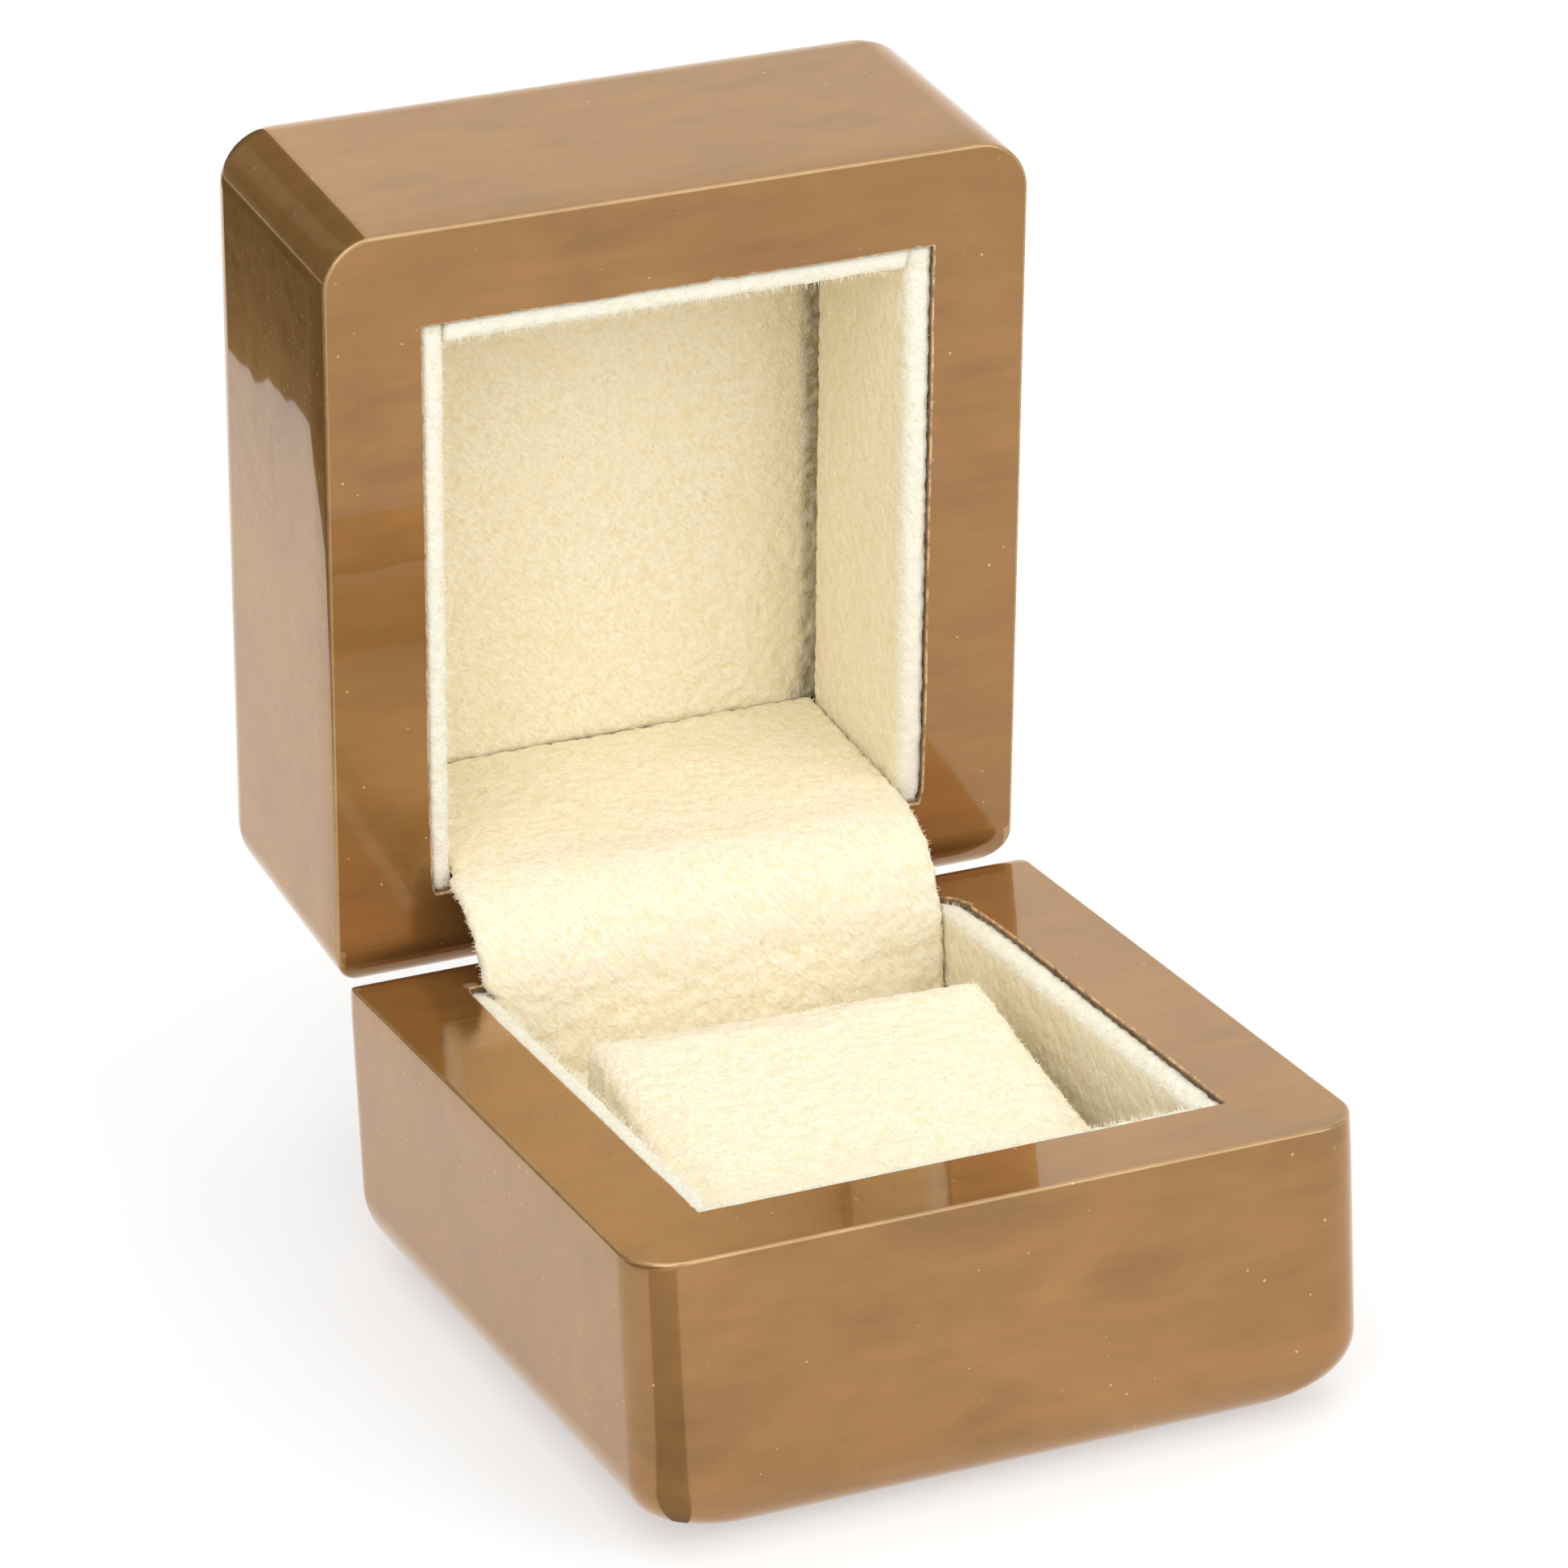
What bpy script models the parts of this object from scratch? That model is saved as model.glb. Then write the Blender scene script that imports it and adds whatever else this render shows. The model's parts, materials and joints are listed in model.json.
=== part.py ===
"""A lacquered wooden ring box, open: two rounded shells on a sprung hinge, lined with plush, and a ring pad.

Metres, +Z up, +X to the right, +Y to the rear, where the hinge is. The origin is the middle of the felt
that the box rests on. Both halves are made by the same functions in shell coordinates: the rim plane is
z = 0 and the shell hangs below it. The base half stands as it is made. The lid half is turned over about
Y, so that the rims meet when the box is shut, and then turned open about the hinge axis.
"""
import math

import bmesh
import bpy
from mathutils import Matrix, Vector

MM = 0.001

# Driving dimensions of the shells
WIDTH = 60.0 * MM
DEPTH = 66.5 * MM
BASE_HEIGHT = 24.1 * MM
LID_HEIGHT = 29.5 * MM
RIM = 8.25 * MM
CORNER_RADIUS = 4.4 * MM
ROUNDOVER = 6.2 * MM
REAR_RADIUS = 4.4 * MM
BASE_CAVITY = 18.0 * MM
LID_CAVITY = 24.4 * MM
FELT_PROUD = 0.4 * MM
FELT_THICKNESS = 1.0 * MM

# The hinge: its axis lies in the groove between the rounded rear rims
OPEN_ANGLE = math.radians(82.6)
AXIS_FROM_REAR = 1.55 * MM
AXIS_BELOW_RIM = 1.0 * MM
NOTCH_HALF_WIDTH = 16.0 * MM
NOTCH_DEPTH = 6.5 * MM
LEAF_HALF_WIDTH = 15.2 * MM
LEAF_THICKNESS = 0.8 * MM
KNUCKLE_RADIUS = 1.3 * MM
PIN_RADIUS = 0.75 * MM
RUNNING_CLEARANCE = 0.05 * MM
MIDDLE_KNUCKLE_HALF = 8.0 * MM
SPRING_THICKNESS = 0.3 * MM
SPRING_HALF_WIDTH = 5.5 * MM
SCREW_SPACING = 22.0 * MM
SCREW_SHANK_RADIUS = 0.7 * MM
SCREW_HEAD_RADIUS = 1.5 * MM
SCREW_HEAD_HEIGHT = 0.7 * MM
SCREW_LENGTH = 6.5 * MM
SCREW_TAPER = 1.2 * MM
SPRING_BEND = 1.2 * MM
PIN_CHAMFER = 0.2 * MM

# The lining: plush wrapped round thin card
LINING = 1.75 * MM
LINING_BELOW_RIM = 0.5 * MM
PANEL_DEPTH = 19.3 * MM
PANEL_THICKNESS = 1.8 * MM
FLAP_RADIUS = 8.4 * MM
FLAP_THICKNESS = 1.3 * MM
FLOOR_CARD = 1.5 * MM

# Gaps between pieces that lie against each other
GLUE_GAP = 0.25 * MM
CLOSE_GAP = 0.1 * MM
NEAR_GAP = 0.2 * MM
LOOSE_GAP = 0.3 * MM

# The ring pad: a ramp that rises to the rear, a lower block behind it, and the ring slot between the two
PAD_HALF_WIDTH = 16.5 * MM
PAD_YAW = math.radians(-3)
RAMP_FRONT = -22.0 * MM
RAMP_REAR = 11.0 * MM
RAMP_REAR_TOP = -1.6 * MM
RAMP_SLOPE = 0.165
RING_SLOT = 2.6 * MM
BLOCK_REAR = 22.0 * MM
BLOCK_TOP = -8.0 * MM
COVER_THICKNESS = 1.2 * MM
PAD_CROWN = 1.5 * MM

# Worked out from the above
RIM_HEIGHT = FELT_PROUD + BASE_HEIGHT
REAR = DEPTH / 2
CAVITY_HALF_X = WIDTH / 2 - RIM
CAVITY_HALF_Y = DEPTH / 2 - RIM
AXIS_Y = REAR - AXIS_FROM_REAR
AXIS_Z = RIM_HEIGHT - AXIS_BELOW_RIM
LINER_OUT_X = CAVITY_HALF_X - GLUE_GAP
LINER_IN_X = LINER_OUT_X - LINING
LINER_OUT_Y = CAVITY_HALF_Y - GLUE_GAP
BETWEEN_LINERS = LINER_IN_X - GLUE_GAP
SHELF = -NOTCH_DEPTH + CLOSE_GAP
FLOOR_TOP = -BASE_CAVITY + GLUE_GAP + FLOOR_CARD
SCREW_HOLE_RADIUS = SCREW_SHANK_RADIUS + CLOSE_GAP

CORNER_STEPS = 8
ROUNDOVER_STEPS = 8
FINE_STEPS = 32
PAST = 5.0 * MM  # how far a cutter runs past what it cuts
WELD = 0.001 * MM  # points of a turned solid this close are one


def clear_scene():
    for leftover in list(bpy.data.objects):
        bpy.data.objects.remove(leftover, do_unlink=True)


def material(name, colour, roughness, metallic=0.0, coat=0.0):
    """A Principled BSDF with this linear colour."""
    made = bpy.data.materials.new(name)
    made.use_nodes = True
    made.diffuse_color = (*colour, 1)
    shader = made.node_tree.nodes["Principled BSDF"]
    shader.inputs["Base Color"].default_value = (*colour, 1)
    shader.inputs["Roughness"].default_value = roughness
    shader.inputs["Metallic"].default_value = metallic
    shader.inputs["Coat Weight"].default_value = coat
    return made


def empty(name, location, turn=(0, 0, 0), parent=None):
    made = bpy.data.objects.new(name, None)
    made.location = location
    made.rotation_euler = turn
    made.parent = parent
    bpy.context.scene.collection.objects.link(made)
    return made


def add(name, bm, look, parent, location=(0, 0, 0), turn=(0, 0, 0)):
    """One object from a bmesh, with its faces turned outwards and its round parts shaded smooth."""
    bmesh.ops.recalc_face_normals(bm, faces=bm.faces)
    mesh = bpy.data.meshes.new(name)
    bm.to_mesh(mesh)
    bm.free()
    mesh.shade_smooth()
    mesh.set_sharp_from_angle(angle=math.radians(30))
    made = bpy.data.objects.new(name, mesh)
    made.location = location
    made.rotation_euler = turn
    made.parent = parent
    bpy.context.scene.collection.objects.link(made)
    if look:
        mesh.materials.append(look)
    return made


def combine(target, tool, operation="DIFFERENCE"):
    """Cuts the hidden tool from target, or joins it on."""
    tool.hide_render = True
    tool.display_type = "WIRE"
    boolean = target.modifiers.new(tool.name, "BOOLEAN")
    boolean.operation = operation
    boolean.solver = "EXACT"
    boolean.object = tool


# Outlines

def arc(centre, radius, start, end, steps):
    """Points on an arc, its angles in degrees from the first axis towards the second."""
    points = []
    for step in range(steps + 1):
        angle = math.radians(start + (end - start) * step / steps)
        points.append((centre[0] + radius * math.cos(angle), centre[1] + radius * math.sin(angle)))
    return points


def ring_at(outline, z):
    """A flat outline of (x, y), lifted to this height."""
    return [(x, y, z) for x, y in outline]


def rounded_rectangle(half_x, half_y, radius):
    points = []
    for quarter, (sx, sy) in enumerate(((1, 1), (-1, 1), (-1, -1), (1, -1))):
        centre = (sx * (half_x - radius), sy * (half_y - radius))
        points += arc(centre, radius, 90 * quarter, 90 * quarter + 90, CORNER_STEPS)
    return points


# Solids

def box(low, high):
    bm = bmesh.new()
    low = Vector(low)
    high = Vector(high)
    bmesh.ops.create_cube(bm, size=1, matrix=Matrix.LocRotScale((low + high) / 2, None, high - low))
    return bm


def prism(outline, low_x, high_x):
    """The (y, z) outline extruded along X."""
    bm = bmesh.new()
    face = bm.faces.new([bm.verts.new((low_x, y, z)) for y, z in outline])
    grown = bmesh.ops.extrude_face_region(bm, geom=[face])["geom"]
    corners = [item for item in grown if isinstance(item, bmesh.types.BMVert)]
    bmesh.ops.translate(bm, verts=corners, vec=(high_x - low_x, 0, 0))
    return bm


def loft(rings):
    """A closed solid through rings that have the same number of points."""
    bm = bmesh.new()
    loops = [[bm.verts.new(point) for point in ring] for ring in rings]
    for lower, upper in zip(loops, loops[1:]):
        for i, corner in enumerate(lower):
            after = (i + 1) % len(lower)
            bm.faces.new((corner, lower[after], upper[after], upper[i]))
    bm.faces.new(loops[0])
    bm.faces.new(loops[-1])
    return bm


def rod(radius, low_x, high_x, y, z, steps=FINE_STEPS):
    """A cylinder along X."""
    return prism(arc((y, z), radius, 0, 360 - 360 / steps, steps - 1), low_x, high_x)


def turned(profile, steps):
    """A solid of revolution about Z from a closed profile of (radius, z), its ends on the axis."""
    bm = bmesh.new()
    verts = [bm.verts.new((radius, 0, z)) for radius, z in profile]
    edges = [bm.edges.new(pair) for pair in zip(verts, verts[1:])]
    bmesh.ops.spin(bm, geom=verts + edges, axis=(0, 0, 1), cent=(0, 0, 0), angle=2 * math.pi, steps=steps)
    bmesh.ops.remove_doubles(bm, verts=bm.verts, dist=WELD)
    return bm


# Shells

def outer_block(height):
    """The outside of a shell: straight walls, then a roundover into the flat bottom."""
    rings = [ring_at(rounded_rectangle(WIDTH / 2, DEPTH / 2, CORNER_RADIUS), 0)]
    for step in range(ROUNDOVER_STEPS + 1):
        angle = math.pi / 2 * step / ROUNDOVER_STEPS
        inset = ROUNDOVER * (1 - math.cos(angle))
        z = -(height - ROUNDOVER) - ROUNDOVER * math.sin(angle)
        outline = rounded_rectangle(WIDTH / 2 - inset, DEPTH / 2 - inset, CORNER_RADIUS + inset / 3)
        rings.append(ring_at(outline, z))
    return loft(rings)


def rear_rounding():
    """What is taken off the rear rim so that the two halves can roll past each other."""
    centre = (REAR - REAR_RADIUS, -REAR_RADIUS)
    outline = arc(centre, REAR_RADIUS, 90, 0, CORNER_STEPS)
    outline += [(REAR + PAST, -REAR_RADIUS), (REAR + PAST, PAST), (REAR - REAR_RADIUS, PAST)]
    return prism(outline, -WIDTH, WIDTH)


def screw_places():
    """(x, y) of the screws that hold a leaf to its shelf."""
    middle = (CAVITY_HALF_Y + AXIS_Y - KNUCKLE_RADIUS) / 2
    return ((-SCREW_SPACING / 2, middle), (SCREW_SPACING / 2, middle))


def add_shell(name, height, cavity, look, half):
    shell = add(name, outer_block(height), look, half)
    pocket = box((-CAVITY_HALF_X, -CAVITY_HALF_Y, -cavity), (CAVITY_HALF_X, CAVITY_HALF_Y, PAST))
    notch = box((-NOTCH_HALF_WIDTH, 0, -NOTCH_DEPTH), (NOTCH_HALF_WIDTH, REAR + PAST, PAST))
    combine(shell, add(name + "_pocket", pocket, None, half))
    combine(shell, add(name + "_rear_rounding", rear_rounding(), None, half))
    combine(shell, add(name + "_notch", notch, None, half))
    depth = NOTCH_DEPTH + SCREW_LENGTH
    profile = [(0, -depth), (SCREW_HOLE_RADIUS, -depth), (SCREW_HOLE_RADIUS, 0), (0, 0)]
    for number, (x, y) in enumerate(screw_places()):
        pilot = turned(profile, CORNER_STEPS * 2)
        combine(shell, add(f"{name}_pilot_{number}", pilot, None, half, (x, y, 0)))
    return shell


# Hinge

def add_leaf(name, axis_z, knuckles, others, look, half):
    """An L of sheet: a foot on the shelf, a web that rises to the axis, and its knuckles.

    knuckles and others are the (low x, high x) of this leaf's knuckles and of the other leaf's."""
    front = AXIS_Y - KNUCKLE_RADIUS
    back = front + LEAF_THICKNESS
    foot_top = SHELF + LEAF_THICKNESS
    foot_front = CAVITY_HALF_Y + LOOSE_GAP
    outline = [(foot_front, SHELF), (back, SHELF), (back, axis_z), (front, axis_z), (front, foot_top)]
    outline.append((foot_front, foot_top))
    leaf = add(name, prism(outline, -LEAF_HALF_WIDTH, LEAF_HALF_WIDTH), look, half)
    relief = KNUCKLE_RADIUS + LOOSE_GAP
    for number, (low, high) in enumerate(others):
        near = (low - LOOSE_GAP, front - PAST, axis_z - relief)
        window = box(near, (high + LOOSE_GAP, back + PAST, axis_z + PAST))
        combine(leaf, add(f"{name}_window_{number}", window, None, half))
    for number, (low, high) in enumerate(knuckles):
        knuckle = rod(KNUCKLE_RADIUS, low, high, AXIS_Y, axis_z)
        combine(leaf, add(f"{name}_knuckle_{number}", knuckle, None, half), "UNION")
    bore_radius = (PIN_RADIUS + RUNNING_CLEARANCE) / math.cos(math.pi / FINE_STEPS)
    bore = rod(bore_radius, -WIDTH, WIDTH, AXIS_Y, axis_z)
    combine(leaf, add(name + "_bore", bore, None, half))
    profile = [(0, -PAST), (SCREW_HOLE_RADIUS, -PAST), (SCREW_HOLE_RADIUS, PAST), (0, PAST)]
    for number, (x, y) in enumerate(screw_places()):
        hole = turned(profile, CORNER_STEPS * 2)
        combine(leaf, add(f"{name}_hole_{number}", hole, None, half, (x, y, SHELF)))
    return leaf


def add_pin(look, half):
    """The pin, its ends chamfered."""
    half_length = LEAF_HALF_WIDTH + LOOSE_GAP
    profile = [(0, -half_length), (PIN_RADIUS - PIN_CHAMFER, -half_length)]
    profile.append((PIN_RADIUS, PIN_CHAMFER - half_length))
    profile += [(radius, -z) for radius, z in reversed(profile)]
    location = (0, AXIS_Y, -AXIS_BELOW_RIM)
    return add("hinge_pin", turned(profile, FINE_STEPS), look, half, location, (0, math.pi / 2, 0))


def add_snap_spring(look, half):
    """A flat spring on the base leaf's foot, whose free end bears on the lid leaf's middle knuckle."""
    low = SHELF + LEAF_THICKNESS + CLOSE_GAP
    face = AXIS_Y - KNUCKLE_RADIUS - NEAR_GAP
    centre = (face - SPRING_BEND, low + SPRING_BEND)
    outer = arc(centre, SPRING_BEND, 270, 360, CORNER_STEPS)
    inner = arc(centre, SPRING_BEND - SPRING_THICKNESS, 360, 270, CORNER_STEPS)
    foot = CAVITY_HALF_Y + 2 * LOOSE_GAP
    top = KNUCKLE_RADIUS / 2 - AXIS_BELOW_RIM
    outline = [(foot, low)] + outer + [(face, top), (face - SPRING_THICKNESS, top)]
    outline += inner + [(foot, low + SPRING_THICKNESS)]
    return add("snap_spring", prism(outline, -SPRING_HALF_WIDTH, SPRING_HALF_WIDTH), look, half)


def add_screws(prefix, sides, look, half):
    """Small pan-head screws through a leaf's foot, down into the wall below the shelf."""
    head_low = SHELF + LEAF_THICKNESS + RUNNING_CLEARANCE
    head_top = head_low + SCREW_HEAD_HEIGHT
    tip = head_low - SCREW_LENGTH
    profile = [(0, tip), (SCREW_SHANK_RADIUS / 3, tip), (SCREW_SHANK_RADIUS, tip + SCREW_TAPER)]
    profile += [(SCREW_SHANK_RADIUS, head_low), (SCREW_HEAD_RADIUS, head_low)]
    profile += [(SCREW_HEAD_RADIUS, (head_low + head_top) / 2), (SCREW_HEAD_RADIUS / 2, head_top)]
    profile.append((0, head_top))
    for side, (x, y) in zip(sides, screw_places()):
        add(f"{prefix}_{side}", turned(profile, CORNER_STEPS * 2), look, half, (x, y, 0))


# Lining

def add_liners(prefix, sides, low, look, half):
    """The two side walls and the front wall of a half's lining, down to low."""
    top = -LINING_BELOW_RIM
    for side, sign in zip(sides, (-1, 1)):
        near, far = sorted((sign * LINER_IN_X, sign * LINER_OUT_X))
        wall = box((near, -LINER_OUT_Y, low), (far, LINER_OUT_Y, top))
        add(f"{prefix}_{side}", wall, look, half)
    front = box((-BETWEEN_LINERS, -LINER_OUT_Y, low), (BETWEEN_LINERS, LINING - LINER_OUT_Y, top))
    add(prefix + "_front", front, look, half)


def sheet_across(low, thickness):
    """A sheet over the whole cavity, its lower face at low."""
    return box((-LINER_OUT_X, -LINER_OUT_Y, low), (LINER_OUT_X, LINER_OUT_Y, low + thickness))


def flap_line(radius):
    """One face of the flap in (y, z) from the base's floor, round the hinge axis, to the lid's panel."""
    open_degrees = math.degrees(OPEN_ANGLE)
    line = [(AXIS_Y - radius, RIM_HEIGHT + FLOOR_TOP + LOOSE_GAP)]
    line += arc((AXIS_Y, AXIS_Z), radius, 180, 180 - open_degrees, 2 * CORNER_STEPS)
    length = PANEL_DEPTH + AXIS_BELOW_RIM - LOOSE_GAP
    last_y, last_z = line[-1]
    lean = math.pi / 2 - OPEN_ANGLE
    line.append((last_y + length * math.cos(lean), last_z + length * math.sin(lean)))
    return line


def add_flap(look):
    """The plush bridge over the hinge, glued to each half's rear wall. It bends as the lid turns."""
    outline = flap_line(FLAP_RADIUS) + flap_line(FLAP_RADIUS - FLAP_THICKNESS)[::-1]
    add("bridge_flap", prism(outline, -BETWEEN_LINERS, BETWEEN_LINERS), look, None)


# Ring pad

def pad_outline(front, rear, rear_top, slope, inset):
    """A pad's side view in (y, z), every face but the bottom moved in by inset."""
    bottom = FLOOR_TOP + NEAR_GAP
    drop = inset * math.hypot(1, slope)
    front_top = rear_top - slope * (rear - front)
    crown = PAD_CROWN - inset
    lower = rear_top - drop
    outline = [(front + inset, bottom), (rear - inset, bottom)]
    outline += arc((rear - inset - crown, lower - crown), crown, 0, 90, CORNER_STEPS)
    outline.append((front + inset, front_top - drop + slope * inset))
    return outline


def add_pad(prefix, front, rear, rear_top, slope, looks, half):
    """A foam block and its plush cover, which is open underneath."""
    cover_look, foam_look = looks
    turn = (0, 0, PAD_YAW)
    outer = pad_outline(front, rear, rear_top, slope, 0)
    skin = prism(outer, -PAD_HALF_WIDTH, PAD_HALF_WIDTH)
    cover = add(prefix + "_cover", skin, cover_look, half, turn=turn)
    room = pad_outline(front, rear, rear_top, slope, COVER_THICKNESS)
    room = [(y, z - PAST if index < 2 else z) for index, (y, z) in enumerate(room)]
    room_half = PAD_HALF_WIDTH - COVER_THICKNESS
    combine(cover, add(prefix + "_room", prism(room, -room_half, room_half), None, half, turn=turn))
    foam = pad_outline(front, rear, rear_top, slope, COVER_THICKNESS + NEAR_GAP)
    foam_half = room_half - NEAR_GAP
    add(prefix + "_foam", prism(foam, -foam_half, foam_half), foam_look, half, turn=turn)


# Felt

def felt_slab(margin, low, high):
    """A rounded slab that covers the flat of the underside but for this margin."""
    edge = ROUNDOVER + margin
    outline = rounded_rectangle(WIDTH / 2 - edge, DEPTH / 2 - edge, CORNER_RADIUS)
    return loft([ring_at(outline, low), ring_at(outline, high)])


def add_felt(shell, look, half):
    """The felt under the base, let into a shallow recess."""
    low = -BASE_HEIGHT - FELT_PROUD
    high = low + FELT_THICKNESS
    recess = felt_slab(CLOSE_GAP, -BASE_HEIGHT - PAST, high + CLOSE_GAP)
    combine(shell, add("felt_recess", recess, None, half))
    add("base_felt", felt_slab(CLOSE_GAP + NEAR_GAP, low, high), look, half)


def build():
    clear_scene()
    lacquer = material("lacquered_wood", (0.42, 0.24, 0.11), 0.12, coat=1.0)
    plush = material("plush", (0.87, 0.80, 0.58), 0.95)
    foam = material("foam", (0.80, 0.74, 0.52), 0.9)
    felt = material("felt", (0.05, 0.035, 0.02), 0.95)
    steel = material("nickelled_steel", (0.62, 0.60, 0.56), 0.3, metallic=1.0)

    base = empty("base_half", (0, 0, RIM_HEIGHT))
    axis = empty("lid_hinge_axis", (0, AXIS_Y, AXIS_Z), (-OPEN_ANGLE, 0, 0))
    lid = empty("lid_half", (0, -AXIS_Y, AXIS_BELOW_RIM), (0, math.pi, 0), parent=axis)

    base_shell = add_shell("base_shell", BASE_HEIGHT, BASE_CAVITY, lacquer, base)
    add_felt(base_shell, felt, base)
    add_shell("lid_shell", LID_HEIGHT, LID_CAVITY, lacquer, lid)

    middle = [(-MIDDLE_KNUCKLE_HALF, MIDDLE_KNUCKLE_HALF)]
    start = MIDDLE_KNUCKLE_HALF + LOOSE_GAP
    outer = [(-LEAF_HALF_WIDTH, -start), (start, LEAF_HALF_WIDTH)]
    add_leaf("base_leaf", -AXIS_BELOW_RIM, outer, middle, steel, base)
    add_leaf("lid_leaf", AXIS_BELOW_RIM, middle, outer, steel, lid)
    add_pin(steel, base)
    add_snap_spring(steel, base)
    add_screws("base_leaf_screw", ("left", "right"), steel, base)
    add_screws("lid_leaf_screw", ("right", "left"), steel, lid)

    add("base_floor_card", sheet_across(FLOOR_TOP - FLOOR_CARD, FLOOR_CARD), plush, base)
    add_liners("base_liner", ("left", "right"), FLOOR_TOP + LOOSE_GAP, plush, base)
    panel_low = -PANEL_DEPTH - PANEL_THICKNESS
    add("lid_panel", sheet_across(panel_low, PANEL_THICKNESS), plush, lid)
    foam_low = -LID_CAVITY + GLUE_GAP
    add("lid_panel_foam", sheet_across(foam_low, panel_low - NEAR_GAP - foam_low), foam, lid)
    add_liners("lid_liner", ("right", "left"), -PANEL_DEPTH + LOOSE_GAP, plush, lid)
    add_flap(plush)

    looks = (plush, foam)
    add_pad("ring_ramp", RAMP_FRONT, RAMP_REAR, RAMP_REAR_TOP, RAMP_SLOPE, looks, base)
    add_pad("ring_block", RAMP_REAR + RING_SLOT, BLOCK_REAR, BLOCK_TOP, 0, looks, base)


build()
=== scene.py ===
import json
import math
import random

import bmesh
import bpy
import numpy as np
from mathutils import Matrix, Vector, noise

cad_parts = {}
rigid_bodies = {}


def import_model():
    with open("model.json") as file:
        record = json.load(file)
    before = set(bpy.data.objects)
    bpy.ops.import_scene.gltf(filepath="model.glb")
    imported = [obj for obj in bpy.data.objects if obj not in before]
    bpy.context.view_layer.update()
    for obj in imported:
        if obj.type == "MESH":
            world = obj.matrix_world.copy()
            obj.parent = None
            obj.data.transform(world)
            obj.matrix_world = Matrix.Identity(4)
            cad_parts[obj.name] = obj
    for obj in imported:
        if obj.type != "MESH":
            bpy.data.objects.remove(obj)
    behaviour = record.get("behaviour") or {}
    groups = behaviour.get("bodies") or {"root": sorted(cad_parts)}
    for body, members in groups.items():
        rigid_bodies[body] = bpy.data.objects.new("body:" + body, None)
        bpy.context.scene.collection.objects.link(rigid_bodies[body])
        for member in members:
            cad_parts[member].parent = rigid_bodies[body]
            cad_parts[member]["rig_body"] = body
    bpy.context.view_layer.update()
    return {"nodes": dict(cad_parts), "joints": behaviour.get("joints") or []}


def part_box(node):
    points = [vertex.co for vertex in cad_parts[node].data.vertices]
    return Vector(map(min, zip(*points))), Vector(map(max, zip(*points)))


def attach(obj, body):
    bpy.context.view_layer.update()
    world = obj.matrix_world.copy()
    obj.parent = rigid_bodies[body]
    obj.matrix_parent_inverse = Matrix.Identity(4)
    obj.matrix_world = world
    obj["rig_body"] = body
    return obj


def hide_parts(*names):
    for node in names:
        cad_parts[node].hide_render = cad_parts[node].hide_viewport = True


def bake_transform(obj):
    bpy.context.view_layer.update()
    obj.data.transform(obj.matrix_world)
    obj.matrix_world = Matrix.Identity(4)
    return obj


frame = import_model()

# Looks of a lacquered ring box lined with plush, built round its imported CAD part. Each half is modelled in
# shell coordinates, as in the CAD: the rim plane is z = 0, the shell hangs below it and +Y is the hinge side.
MM = 0.001

# Viewpoint: place in metres, turn in degrees, focal length and sensor in millimetres
CAMERA_PLACE = (-0.1976, -0.4841, 0.2411)
CAMERA_TURN = (69.562, 2.398, -22.753)
CAMERA_LENS = 165.5
SENSOR_WIDTH = 36

# Studio: how bright the world is, from its dim side to the bright one behind and to the right
DIM_SIDE = 0.36
BRIGHT_SIDE = 1.08
BRIGHT_FROM = {"X": (0.05, 0.20), "Y": (0.0, 0.25)}

# Studio: lamps (direction, strength, spread in degrees)
LAMPS = {
    "key": ((-0.50, -0.75, 0.50), 1.1, 45),
    "fill": ((0.50, -0.75, 0.45), 1.05, 45),
    "overhead": ((-0.10, -0.20, 1.0), 1.15, 60),
}

# Studio: the floor, the cards on it and the screens behind it
FLOOR_REACH = 1.6
FLOOR_TONE = 0.52
FLOOR_GLOW = 0.5
CARD_HEIGHT = 2.0 * MM
TABLE_CARD = ((-1.1, -0.2), (-0.1, 0.8))
TABLE_CARD_TONE = 0.01
CORNER_CARD_BEARINGS = (-12, -66)
CORNER_CARD_REACH = (0.001, 0.09)
CORNER_CARD_TONE = 0.38
SCREEN_Y = 1.0
SCREEN_HEIGHT = 1.2
# Screens in a row behind the table, from the left: (start, end, glow)
SCREENS = ((-2.4, -0.54, 0.06), (-0.54, -0.3, 0.2), (-0.3, 0.2, 0.06))

# Shells, as in the CAD
OPEN_ANGLE = math.radians(82.6)
CORNER_RADIUS = 4.4 * MM
ROUNDOVER = 6.2 * MM
REAR_RADIUS = 4.4 * MM
NOTCH_HALF_WIDTH = 16.0 * MM
NOTCH_DEPTH = 6.5 * MM
CAVITY = {"base": 18.0 * MM, "lid": 24.4 * MM}
GLUE_GAP = 0.25 * MM

# What each part of a shell's surface shows, in the order of its materials; the arrises show paler lacquer,
# for wear and a painted highlight
LACQUER, WEAR_AND_HIGHLIGHT, RAW, BOARD = range(4)

# Shells, finer than the CAD: arrises painted paler, for wear and a painted highlight, and a sawn opening
# whose rear corners draw in
ARRIS = 0.25 * MM
EASED = 0.5 * MM
RAW_EDGE = 0.16 * MM
CORNER_STEPS = 20
CORNER_LEAD = 1.0 * MM
ARRIS_STEPS = 5
ROUNDOVER_STEPS = 18
OPENING_STEP = 0.45 * MM
OPENING_WANDER = 0.05 * MM
WANDER_LENGTH = 3.0 * MM
NICK_DEPTH = 0.9 * MM
NICK_LENGTH = 1.1 * MM
NICK_RARITY = 0.45
SHARP_ANGLE = math.radians(50)
SMOOTH_ANGLE = math.radians(35)
FLATNESS = 80
ARRIS_LENGTH = 40.0 * MM
DRAWN_IN = {"base": (0.25, 1.0), "lid": (0.25, 0.25)}
SLOW_DRAW = (14.0 * MM, 0.6 * MM)
FAST_DRAW = (2.5 * MM, 1.1 * MM)

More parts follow.
